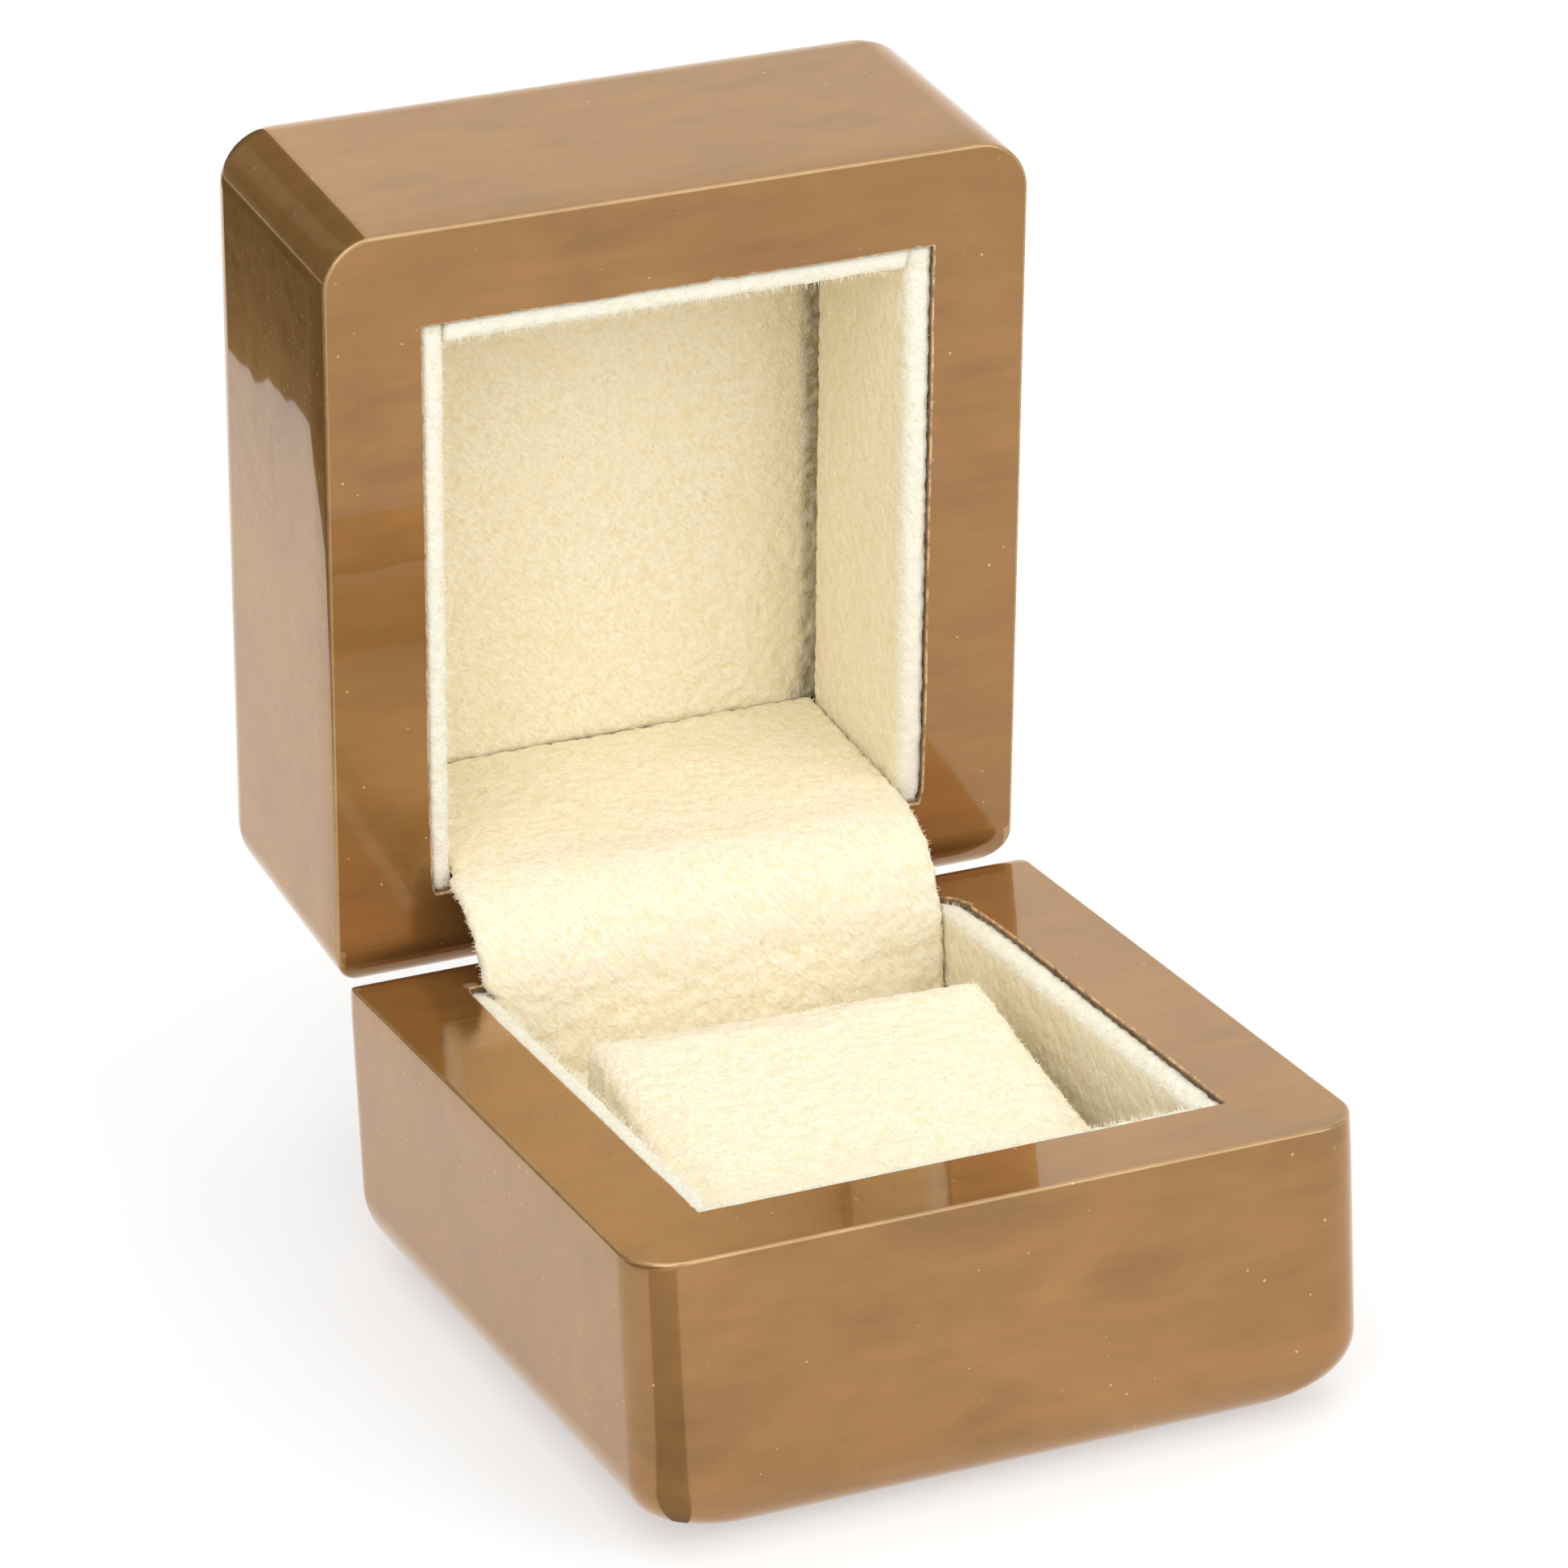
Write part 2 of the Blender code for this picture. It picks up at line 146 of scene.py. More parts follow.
# Lacquer: (dark, light, roughness), its tint in grazing reflections, and how its sides lead in to the rim
WOOD = ((0.265, 0.131, 0.038), (0.375, 0.190, 0.058), 0.16)
# The arrises' lacquer is paler: partly wear, partly a painted highlight along the edges
WEAR_AND_HIGHLIGHT_WOOD = ((0.37, 0.215, 0.085), (0.54, 0.35, 0.16), 0.28)
GOLD_TINT = (1.0, 0.65, 0.25, 1)
LEAD_IN = 3.5 * MM
LEAD_DEPTH = 0.1 * MM

# Scuffs in the lacquer: (place in the row frame, radius, colour)
SCUFFS = (
    ((-21.1 * MM, 25.4 * MM, 24.5 * MM), 0.7 * MM, (0.78, 0.55, 0.36, 1)),
    ((-28.0 * MM, 24.2 * MM, 88.2 * MM), 0.9 * MM, (0.10, 0.05, 0.015, 1)),
)

# Pads and flap: as in the CAD, except that the ramp is a little wider and higher, and flares to its front
PAD_HALF_WIDTH = 17.0 * MM
PAD_SHIFT = -0.5 * MM
PAD_FLARE = 0.9 * MM
PAD_DROOP = 0.6 * MM
# How far down a pad's sides the painted shade deepens, and the most that it reaches
PAD_SHADE = 5.5 * MM
PAD_DEEPEST = 0.6
PAD_YAW = math.radians(-3)
RAMP_FRONT = -22.0 * MM
RAMP_REAR = 11.0 * MM
RAMP_REAR_TOP = -0.6 * MM
RAMP_SLOPE = 0.175
BLOCK_FRONT = 13.6 * MM
BLOCK_REAR = 22.0 * MM
BLOCK_TOP = -8.0 * MM
FLAP_RADIUS = 8.4 * MM
FLAP_THICKNESS = 1.2 * MM
FLAP_ON_LID = 20.0 * MM

# Plush: its cover, its nap and its loose fibres
COVER_THICKNESS = 1.1 * MM
CLOTH_STEP = 1.4 * MM
NAP_DEPTH = 0.2 * MM
NAP_TUFT = 1.25 * MM
NAP_FINE = 0.5 * MM
COMBED = (0, math.radians(45), math.radians(-30))
FIBRE_LENGTH = 0.55 * MM
FIBRE_RADIUS = 0.032 * MM
FIBRES_PER_METRE = 20000
STRAY_EVERY = 12
FRINGE_RISE = 0.7
FRINGE_SPLAY = 2.6
FRINGE_SCATTER = 0.35
FUZZ_SCATTER = 0.4
FUZZ = {"panel": 2200, "flap": 1800, "ramp": 2600, "block": 800}
FIBRE_SEED = 11

# Plush: the lining walls swell towards the wood and each other, and stay this far from the wood
FULLNESS = 0.2 * MM
END_REACH = 0.22 * MM
NEAR_WOOD = 0.04 * MM
TURN_CREASE = 0.8
# How deep the turned top is painted whiter, partly as a painted highlight, and how softly that fades
TURNED_DEPTH = 1.7 * MM
TURNED_FADE = 0.8 * MM

# Plush: the lid panel is flat to here, and then rolls down, where it is also painted darker as shade in the
# seam
PANEL_FLAT = 19.0 * MM
PANEL_ROLL = 1.0 * MM
PANEL_ROLL_WIDTH = 0.9 * MM

# Plush: the flap beyond its CAD solid, its edges over the hinge, and the height of its creases
FLAP_FULLNESS = 0.12 * MM
SPREAD_LEFT = -20.6 * MM
SPREAD_RIGHT = 19.5 * MM
SPREAD_OVER = 1.4 * MM
SPREAD_BEYOND = 1.6 * MM
CREASE_TRAVEL = 11.5 * MM
CREASE_REACH = 3.0 * MM
CREASE_HEIGHT = 0.2 * MM
WAVE_HEIGHT = 0.25 * MM

# Cloth simulation, on forms enlarged this many times
SIM_SCALE = 14.0
SIM_FRAMES = 20
SIM_QUALITY = 6
SIM_PRESSURE = 4.0
SIM_TENSION = 25
SIM_BENDING = 1.2
PANEL_SWELL = 0.5 * MM
PAD_SWELL = 0.55 * MM

# Two points closer than this are in one place
NEAR = 0.01 * MM


# Places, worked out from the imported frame

HINGE = Vector(frame["joints"][0]["pos_m"])
BASE_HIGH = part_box("base_shell")[1]
HALF_WIDTH = BASE_HIGH.x
REAR = BASE_HIGH.y
RIM_HEIGHT = BASE_HIGH.z
TO_ROW = {
    "base": Matrix.Translation((0, 0, RIM_HEIGHT)),
    "lid": Matrix.Translation(HINGE)
    @ Matrix.Rotation(-OPEN_ANGLE, 4, "X")
    @ Matrix.Translation((0, -HINGE.y, RIM_HEIGHT - HINGE.z))
    @ Matrix.Rotation(math.pi, 4, "Y"),
}


def shell_box(node):
    """(low, high) of a CAD node in its half's shell coordinates."""
    half = frame["nodes"][node]["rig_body"]
    back = TO_ROW[half].inverted()
    points = np.array([back @ v.co for v in frame["nodes"][node].data.vertices])
    return Vector(points.min(0)), Vector(points.max(0))


OPENING_HALF_X = -shell_box("base_liner_left")[0].x + GLUE_GAP
OPENING_HALF_Y = -shell_box("base_liner_left")[0].y + GLUE_GAP
FLAP_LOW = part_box("bridge_flap")[0].z
FLAP_RISE = HINGE.z - FLAP_LOW
FLAP_BEND = FLAP_RADIUS * OPEN_ANGLE
FLAP_LENGTH = FLAP_RISE + FLAP_BEND + FLAP_ON_LID


def clamp(value, high=1.0):
    """The value, kept between 0 and high."""
    return max(0.0, min(high, value))


# Meshes

def make_object(name, bm, looks, half=None):
    """An object from a bmesh in a half's shell coordinates, or in the row frame where half is None."""
    mesh = bpy.data.meshes.new(name)
    if half:
        bm.transform(TO_ROW[half])
    bm.to_mesh(mesh)
    bm.free()
    for look in looks:
        mesh.materials.append(look)
    made = bpy.data.objects.new(name, mesh)
    bpy.context.scene.collection.objects.link(made)
    return made


def settle(obj):
    """Applies an object's modifiers to its mesh."""
    graph = bpy.context.evaluated_depsgraph_get()
    evaluated = obj.evaluated_get(graph)
    mesh = bpy.data.meshes.new_from_object(evaluated, preserve_all_data_layers=True, depsgraph=graph)
    obj.modifiers.clear()
    old = obj.data
    obj.data = mesh
    bpy.data.meshes.remove(old)


def cut(obj, cutter):
    """Takes the cutter out of an object, and the cutter away."""
    boolean = obj.modifiers.new("cut", "BOOLEAN")
    boolean.operation = "DIFFERENCE"
    boolean.solver = "EXACT"
    boolean.object = cutter
    settle(obj)
    bpy.data.objects.remove(cutter, do_unlink=True)


def arc(centre, radius, start, end, steps):
    """Points on an arc, its angles in radians."""
    angles = [start + (end - start) * step / steps for step in range(steps + 1)]
    return [(centre[0] + radius * math.cos(a), centre[1] + radius * math.sin(a)) for a in angles]


def loft(rings):
    """A closed solid through rings that have the same number of points."""
    bm = bmesh.new()
    loops = [[bm.verts.new(point) for point in ring] for ring in rings]
    for lower, upper in zip(loops, loops[1:]):
        for i, corner in enumerate(lower):
            after = (i + 1) % len(lower)
            bm.faces.new((corner, lower[after], upper[after], upper[i]))
    bm.faces.new(loops[0])
    bm.faces.new(loops[-1])
    bmesh.ops.recalc_face_normals(bm, faces=bm.faces)
    return bm


# Wood

def shell_outline(inset, rear, radius):
    """A shell's outline at one height. The rear edge may cut across the rear corners, eased where it does."""
    half_x = HALF_WIDTH - inset
    centre_x = half_x - radius
    centre_y = REAR - inset - radius
    turn = math.asin(clamp((rear - centre_y) / radius))
    length = CORNER_LEAD + radius * turn - EASED
    right_rear = []
    for step in range(CORNER_STEPS + 1):
        travel = length * step / CORNER_STEPS - CORNER_LEAD
        angle = max(0.0, travel) / radius
        y = centre_y + min(0.0, travel) + radius * math.sin(angle)
        right_rear.append((centre_x + radius * math.cos(angle), y))
    before = Vector(right_rear[-1])
    tip = Vector((centre_x + radius * math.cos(turn), centre_y + radius * math.sin(turn)))
    after = tip - Vector((EASED, 0))
    for step in range(1, ARRIS_STEPS + 1):
        share = step / ARRIS_STEPS
        right_rear.append(tuple(before.lerp(tip, share).lerp(tip.lerp(after, share), share)))
    left_rear = [(-x, y) for x, y in reversed(right_rear)]
    front = -REAR + inset + radius
    left_front = arc((-centre_x, front), radius, math.pi, 1.5 * math.pi, CORNER_STEPS)
    right_front = arc((centre_x, front), radius, 1.5 * math.pi, 2 * math.pi, CORNER_STEPS)
    return right_rear + left_rear + left_front + right_front


def rear_at(z):
    """How far back the rounded rear rim reaches at this height."""
    if z <= -REAR_RADIUS:
        return REAR
    return REAR - REAR_RADIUS + math.sqrt(max(0.0, REAR_RADIUS ** 2 - (z + REAR_RADIUS) ** 2))


def shell_block(height):
    """A shell without its opening: eased rim, sides that lead in to it, and a roundover at the other end."""
    rings = []
    for step in range(ARRIS_STEPS + 1):
        angle = math.pi / 2 * step / ARRIS_STEPS
        inset = LEAD_DEPTH + ARRIS * (1 - math.sin(angle))
        z = -ARRIS * (1 - math.cos(angle))
        rings.append((z, inset, CORNER_RADIUS - inset))
    for step in range(1, ROUNDOVER_STEPS + 1):
        z = -ARRIS - (REAR_RADIUS - ARRIS) * step / ROUNDOVER_STEPS
        inset = LEAD_DEPTH * max(0.0, 1 + z / LEAD_IN) ** 2
        rings.append((z, inset, CORNER_RADIUS - inset))
    for step in range(ROUNDOVER_STEPS + 1):
        angle = math.pi / 2 * step / ROUNDOVER_STEPS
        inset = ROUNDOVER * (1 - math.cos(angle))
        rings.append((-(height - ROUNDOVER) - ROUNDOVER * math.sin(angle), inset, CORNER_RADIUS + inset / 3))
    loops = []
    for z, inset, radius in rings:
        rear = rear_at(z) if z > -REAR_RADIUS else REAR - inset
        loops.append([(x, y, z) for x, y in shell_outline(inset, rear, radius)])
    return loft(loops)


def opening_half_x(half, y, sign):
    """How far a half's opening reaches to the left (-1) or right (1) at this y: its rear corners draw in."""
    slow_reach, slow_depth = SLOW_DRAW
    fast_reach, fast_depth = FAST_DRAW
    slow = max(0.0, 1 - (OPENING_HALF_Y - y) / slow_reach)
    fast = max(0.0, 1 - (OPENING_HALF_Y - y) / fast_reach)
    return OPENING_HALF_X - DRAWN_IN[half][sign > 0] * (slow_depth * slow ** 2 + fast_depth * fast ** 3)


def between(first, last, step):
    """Evenly spaced values from first up to last, without last."""
    count = max(1, round(abs(last - first) / step))
    return [first + (last - first) * i / count for i in range(count)]


def opening_outline(half, seed):
    """The sawn opening: four sides that wander a little and are nicked here and there."""
    side = between(-OPENING_HALF_Y, OPENING_HALF_Y, OPENING_STEP) + [OPENING_HALF_Y]
    right = [Vector((opening_half_x(half, y, 1), y)) for y in side]
    left = [Vector((-opening_half_x(half, y, -1), y)) for y in reversed(side)]
    rear = [Vector((x, OPENING_HALF_Y)) for x in between(right[-1].x, left[0].x, OPENING_STEP)[1:]]
    front = [Vector((x, -OPENING_HALF_Y)) for x in between(-OPENING_HALF_X, OPENING_HALF_X, OPENING_STEP)[1:]]
    loop = right + rear + left + front
    outline = []
    for i, point in enumerate(loop):
        along = (loop[(i + 1) % len(loop)] - loop[i - 1]).normalized()
        outward = Vector((along.y, -along.x))
        place = Vector((point.x, point.y, seed * MM))
        wander = noise.noise(place / WANDER_LENGTH) * OPENING_WANDER
        nick = max(0.0, noise.noise(place / NICK_LENGTH) - NICK_RARITY) * NICK_DEPTH
        outline.append(tuple(point + outward * (wander + nick)))
    return outline


def prism(outline, low, high):
    """An upright solid with this outline."""
    return loft([[(x, y, low) for x, y in outline], [(x, y, high) for x, y in outline]])


def face_look(face, bottom):
    """Which of a shell's looks a face shows."""
    middle = face.calc_center_median()
    slack = 0.6 * MM
    inside = abs(middle.x) < OPENING_HALF_X + slack and abs(middle.y) < OPENING_HALF_Y + slack
    sawn = inside and bottom + 2 * MM < middle.z < -0.05 * MM
    in_notch = abs(middle.x) < NOTCH_HALF_WIDTH + NEAR and middle.y > 0 and middle.z > -NOTCH_DEPTH - NEAR
    if sawn or in_notch:
        return BOARD
    outer = max(abs(middle.x) - HALF_WIDTH, -middle.y - REAR) + ARRIS
    on_arris = middle.z > -ARRIS and outer > -0.9 * CORNER_RADIUS
    # Faces on the arris take the paler lacquer: wear and a painted highlight
    return WEAR_AND_HIGHLIGHT if on_arris and face.calc_area() < ARRIS_LENGTH * ARRIS else LACQUER


def build_shell(half, looks, seed):
    """A shell: lacquered outside, arrises paler for wear and a painted highlight, sawn opening with a raw
    edge, and the notch for the hinge.
    """
    node = half + "_shell"
    bottom = shell_box(node)[0].z
    shell = make_object(node + "_looks", shell_block(-bottom), looks)
    cut(shell, make_object("opening", prism(opening_outline(half, seed), -CAVITY[half], 5 * MM), []))
    x = NOTCH_HALF_WIDTH
    notch = [(-x, 0), (x, 0), (x, 2 * REAR), (-x, 2 * REAR)]
    cut(shell, make_object("notch", prism(notch, -NOTCH_DEPTH, 5 * MM), []))
    bm = bmesh.new()
    bm.from_mesh(shell.data)
    bmesh.ops.remove_doubles(bm, verts=bm.verts, dist=0.001 * MM)
    sharp = []
    for edge in bm.edges:
        if len(edge.link_faces) == 2 and edge.is_convex and edge.calc_face_angle(0) > SHARP_ANGLE:
            sharp.append(edge)
    bmesh.ops.bevel(bm, geom=sharp, offset=RAW_EDGE, segments=2, profile=0.5, affect="EDGES", material=RAW)
    for face in bm.faces:
        face.smooth = True
        if face.material_index != RAW:
            face.material_index = face_look(face, bottom)
    bm.transform(TO_ROW[half])
    bm.to_mesh(shell.data)
    bm.free()
    shell.data.set_sharp_from_angle(angle=SMOOTH_ANGLE)
    weighted = shell.modifiers.new("flat faces", "WEIGHTED_NORMAL")
    weighted.keep_sharp = True
    weighted.weight = FLATNESS
    settle(shell)
    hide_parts(node)
    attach(shell, half)


# Shader nodes

class Look:
    """A material's node tree, with its Principled BSDF."""

    def __init__(self, name, **values):
        self.material = bpy.data.materials.new(name)
        self.material.use_nodes = True
        self.tree = self.material.node_tree
        self.shader = self.tree.nodes["Principled BSDF"]
        self.set(self.shader, values)

    def set(self, node, values):
        """Sets or links a node's inputs. A name's underscores stand for spaces."""
        for key, value in values.items():
            socket = node.inputs[key.replace("_", " ")] if isinstance(key, str) else node.inputs[key]
            if isinstance(value, bpy.types.NodeSocket):
                self.tree.links.new(value, socket)
            else:
                socket.default_value = value

    def node(self, kind, values=None, **settings):
        made = self.tree.nodes.new("ShaderNode" + kind)
        for key, value in settings.items():
            setattr(made, key, value)
        self.set(made, values or {})
        return made

    def place(self, scale=(1, 1, 1)):
        """Object coordinates in metres, stretched."""
        mapping = self.node("Mapping", {"Scale": scale})
        self.tree.links.new(self.node("TexCoord").outputs["Object"], mapping.inputs["Vector"])
        return mapping.outputs["Vector"]

    def noise(self, size, detail=3.0, stretch=(1, 1, 1), roughness=0.55, distortion=0.0):
        """Noise whose features are about this size in metres."""
        made = self.node("TexNoise", {"Vector": self.place(stretch), "Scale": 1 / size, "Detail": detail})
        made.inputs["Roughness"].default_value = roughness
        made.inputs["Distortion"].default_value = distortion
        return made.outputs["Fac"]

    def combed_noise(self, size, turn, reach):
        """Noise in strands of about this width, reach times as long along the X axis of the turned frame."""
        place = self.node("TexCoord").outputs["Object"]
        values = {"Vector": place, "Rotation": turn, "Scale": (reach, 1, 1)}
        strands = self.node("Mapping", values, vector_type="TEXTURE").outputs["Vector"]
        return self.node("TexNoise", {"Vector": strands, "Scale": 1 / size, "Detail": 3.0}).outputs["Fac"]

    def ramp(self, value, stops):
        """Colours between stops of (place, colour)."""
        made = self.node("ValToRGB", {"Fac": value})
        points = made.color_ramp.elements
        while len(points) < len(stops):
            points.new(0.5)
        for point, (place, colour) in zip(points, stops):
            point.position = place
            point.color = (*colour, 1)
        return made.outputs["Color"]

    def level(self, value, low, high, to_low=0.0, to_high=1.0):
        """The value's stretch from low to high, drawn out from to_low to to_high."""
        made = self.node("MapRange", {0: value, 1: low, 2: high, 3: to_low, 4: to_high}, clamp=True)
        return made.outputs["Result"]

    def mix(self, share, first, second):
        return self.node("Mix", {0: share, 6: first, 7: second}, data_type="RGBA").outputs[2]

    def math(self, operation, first, second=0.0):
        return self.node("Math", {0: first, 1: second}, operation=operation).outputs["Value"]

    def bump(self, height, distance, strength=1.0, below=None):
        values = {"Height": height, "Distance": distance, "Strength": strength}
        if below:
            values["Normal"] = below
        return self.node("Bump", values).outputs["Normal"]


def lacquer(name, dark, light, roughness):
    """Metallic bronze lacquer under a clear coat: clouds, streaks, gold specks, two scuffs, a soft ripple."""
    look = Look(name, Metallic=0.5, Specular_IOR_Level=0.12, Specular_Tint=GOLD_TINT)
    look.set(look.shader, {"Coat Weight": 0.85, "Coat Roughness": 0.02, "Coat IOR": 1.5})
    clouds = look.noise(11 * MM, detail=6.0, stretch=(0.55, 1, 1), roughness=0.62, distortion=0.6)
    streaks = look.noise(1.6 * MM, detail=4.0, stretch=(0.18, 1, 1), roughness=0.6)
    both = look.math("ADD", look.math("MULTIPLY", clouds, 0.7), look.math("MULTIPLY", streaks, 0.3))
    colour = look.ramp(both, [(0.32, dark), (0.68, light)])
    smudge = look.level(look.noise(5 * MM, detail=4.0, stretch=(0.4, 1, 1)), 0.56, 0.76, 0.0, 0.4)
    colour = look.mix(smudge, colour, (*[c * 0.6 for c in dark], 1))
    specks = look.node("TexVoronoi", {"Vector": look.place(), "Scale": 1 / (1.3 * MM)})
    tone = look.node("SeparateColor", {"Color": specks.outputs["Color"]}).outputs["Red"]
    near = look.math("LESS_THAN", specks.outputs["Distance"], look.level(tone, 0.5, 1.0, 0.0, 0.09))
    colour = look.mix(look.math("MULTIPLY", near, 0.7), colour, (0.80, 0.58, 0.32, 1))
    for place, radius, tint in SCUFFS:
        away = look.node("VectorMath", {0: look.place(), 1: place}, operation="DISTANCE").outputs["Value"]
        ragged = look.math("ADD", away, look.math("MULTIPLY", look.noise(0.5 * MM), radius))
        colour = look.mix(look.level(ragged, radius, 1.6 * radius, 0.9, 0.0), colour, tint)
    look.set(look.shader, {"Base Color": colour})
    grain = look.noise(0.9 * MM, detail=4.0, stretch=(0.2, 1, 1))
    look.set(look.shader, {"Roughness": look.level(grain, 0.3, 0.7, roughness * 0.8, roughness * 1.3)})
    ripple = look.bump(look.noise(9 * MM, detail=1.0, distortion=0.5), 0.04 * MM)
    look.set(look.shader, {"Normal": look.bump(grain, 0.0015 * MM, below=ripple)})
    waves = look.noise(9 * MM, detail=1.0, distortion=0.4)
    look.set(look.shader, {"Coat Normal": look.bump(waves, 0.025 * MM)})
    return look.material


def raw_edge():
    """The sawn edge, where the lacquer is thin and the board shows through in pale chips."""
    look = Look("raw_edge", Coat_Weight=0.4, Coat_Roughness=0.2)
    chips = look.noise(0.9 * MM, detail=4.0, roughness=0.7)
    colour = look.ramp(chips, [(0.38, (0.30, 0.15, 0.05)), (0.62, (0.72, 0.47, 0.24))])
    look.set(look.shader, {"Base Color": colour})
    look.set(look.shader, {"Roughness": look.level(chips, 0.3, 0.7, 0.35, 0.7)})
    look.set(look.shader, {"Normal": look.bump(chips, 0.08 * MM)})
    return look.material


def bare_board():
    """The board's own fibre, inside the openings and the notch."""
    look = Look("bare_board", Specular_IOR_Level=0.3)
    fibre = look.noise(0.6 * MM, detail=4.0, stretch=(0.2, 1, 1))
    colour = look.ramp(fibre, [(0.3, (0.12, 0.075, 0.04)), (0.7, (0.30, 0.20, 0.11))])
    look.set(look.shader, {"Base Color": colour})
    look.set(look.shader, {"Roughness": look.level(fibre, 0.3, 0.7, 0.7, 0.95)})
    look.set(look.shader, {"Normal": look.bump(fibre, 0.1 * MM)})
    return look.material


def plush():
    """Short-pile plush: combed locks, soft tufts, stray darker hairs, painted shade in the nap's grooves and
    seams, and a turned edge painted whiter, partly as a painted highlight.
    """
    look = Look("plush", Sheen_Weight=0.1, Sheen_Roughness=0.5, Specular_IOR_Level=0.1)
    look.shader.inputs["Sheen Tint"].default_value = (1.0, 0.93, 0.72, 1)
    fibres = look.noise(0.16 * MM, detail=3.0, stretch=(1, 1, 0.45), roughness=0.7)
    locks = look.combed_noise(0.27 * MM, COMBED, 3.5)
    tufts = look.noise(1.0 * MM, detail=2.0, distortion=0.4)
    drift = look.noise(9 * MM, detail=2.0)
    pile = look.node("Attribute", attribute_name="pile").outputs["Fac"]
    base = look.ramp(locks, [(0.35, (0.85, 0.75, 0.49)), (0.63, (0.94, 0.87, 0.72))])
    # Painted shade: where the pile stands low, in the nap's grooves, the cream darkens
    base = look.mix(look.level(pile, -0.05, -0.35, 0.0, 0.6), base, (0.82, 0.73, 0.44, 1))
    # Painted shade, dark olive, deep in the seams, where sunk has lowered the pile
    base = look.mix(look.level(pile, -0.4, -1.2, 0.0, 1.0), base, (0.42, 0.34, 0.14, 1))
    base = look.mix(look.level(tufts, 0.4, 0.6, 0.0, 0.35), base, (0.935, 0.865, 0.72, 1))
    base = look.mix(look.level(drift, 0.4, 0.7, 0.0, 0.3), base, (0.885, 0.775, 0.54, 1))
    stray = look.level(look.noise(0.45 * MM, detail=2.0, stretch=(1, 0.3, 0.3)), 0.68, 0.76, 0.0, 0.35)
    base = look.mix(stray, base, (0.60, 0.47, 0.24, 1))
    # The turned top is painted whiter: partly a paler edge, partly a painted highlight where it faces the
    # light
    turned = look.node("Attribute", attribute_name="turned").outputs["Fac"]
    base = look.mix(look.math("MULTIPLY", turned, 0.8), base, (0.87, 0.85, 0.745, 1))
    look.set(look.shader, {"Base Color": base})
    look.set(look.shader, {"Roughness": look.level(fibres, 0.3, 0.7, 0.85, 1.0)})
    fine = look.bump(locks, 0.12 * MM, 0.8)
    look.set(look.shader, {"Normal": look.bump(tufts, 0.3 * MM, 0.6, below=fine)})
    return look.material


def cut_fibre():
    """The loose fibres of the pile, a little whiter than the plush that they stand on."""
    look = Look("cut_fibre", Roughness=0.9, Sheen_Weight=0.3, Specular_IOR_Level=0.1)
    shade = look.noise(0.5 * MM, detail=2.0)
    colour = look.ramp(shade, [(0.3, (0.86, 0.80, 0.60)), (0.65, (0.91, 0.88, 0.76))])
    look.set(look.shader, {"Base Color": colour})
    return look.material


def open_foam():
    """Open-cell foam: dark pores, painted shade in the hollows, between paler walls."""
    look = Look("open_foam", Roughness=0.95)
    pores = look.node("TexVoronoi", {"Vector": look.place(), "Scale": 1 / (0.5 * MM)})
    depth = pores.outputs["Distance"]
    # Painted shade: the colour darkens towards each pore's middle
    colour = look.ramp(depth, [(0.1, (0.42, 0.36, 0.20)), (0.6, (0.82, 0.76, 0.55))])
    look.set(look.shader, {"Base Color": colour})
    look.set(look.shader, {"Normal": look.bump(depth, 0.3 * MM)})
    return look.material


def pressed_felt():
    """Dark brown felt: tangled strands, clouded by wear."""
    look = Look("pressed_felt", Sheen_Weight=0.4, Sheen_Roughness=0.5)
    strands = look.noise(0.22 * MM, detail=5.0, distortion=2.0, roughness=0.7)
    clouds = look.noise(5 * MM, detail=3.0)
    colour = look.ramp(strands, [(0.3, (0.022, 0.014, 0.009)), (0.7, (0.10, 0.066, 0.04))])
    colour = look.mix(look.level(clouds, 0.4, 0.7, 0, 0.4), colour, (0.07, 0.05, 0.03, 1))
    look.set(look.shader, {"Base Color": colour})
    look.set(look.shader, {"Roughness": look.level(strands, 0.3, 0.7, 0.85, 1.0)})
    look.set(look.shader, {"Normal": look.bump(strands, 0.15 * MM)})
    return look.material


def nickel():
    """Nickel plate over stamped sheet: drawn lines along the hinge, dull patches and tarnished spots."""
    look = Look("nickel_plate", Metallic=1.0)
    drawn = look.noise(0.12 * MM, detail=3.0, stretch=(0.05, 1, 1))
    dull = look.noise(2.5 * MM, detail=4.0, roughness=0.6)
    colour = look.ramp(dull, [(0.3, (0.50, 0.46, 0.40)), (0.65, (0.68, 0.665, 0.63))])
    look.set(look.shader, {"Base Color": colour})
    look.set(look.shader, {"Roughness": look.level(dull, 0.3, 0.7, 0.38, 0.2)})
    look.set(look.shader, {"Normal": look.bump(drawn, 0.006 * MM)})
    return look.material


# Plush

def block_grid(low, high, step):
    """A box as a mesh of near-square faces."""
    bm = bmesh.new()
    size = high - low
    counts = [max(1, round(extent / step)) for extent in size]
    corners = {}

    def corner(i, j, k):
        key = (i, j, k)
        if key not in corners:
            share = Vector((i / counts[0], j / counts[1], k / counts[2]))
            corners[key] = bm.verts.new(low + Vector(a * b for a, b in zip(size, share)))
        return corners[key]

    for axis in range(3):
        first, second = [other for other in range(3) if other != axis]
        for side in (0, counts[axis]):
            for u in range(counts[first]):
                for v in range(counts[second]):
                    face = []
                    for du, dv in ((0, 0), (1, 0), (1, 1), (0, 1)):
                        place = [0, 0, 0]
                        place[axis] = side
                        place[first] = u + du
                        place[second] = v + dv
                        face.append(corner(*place))
                    bm.faces.new(face)
    bmesh.ops.recalc_face_normals(bm, faces=bm.faces)
    return bm


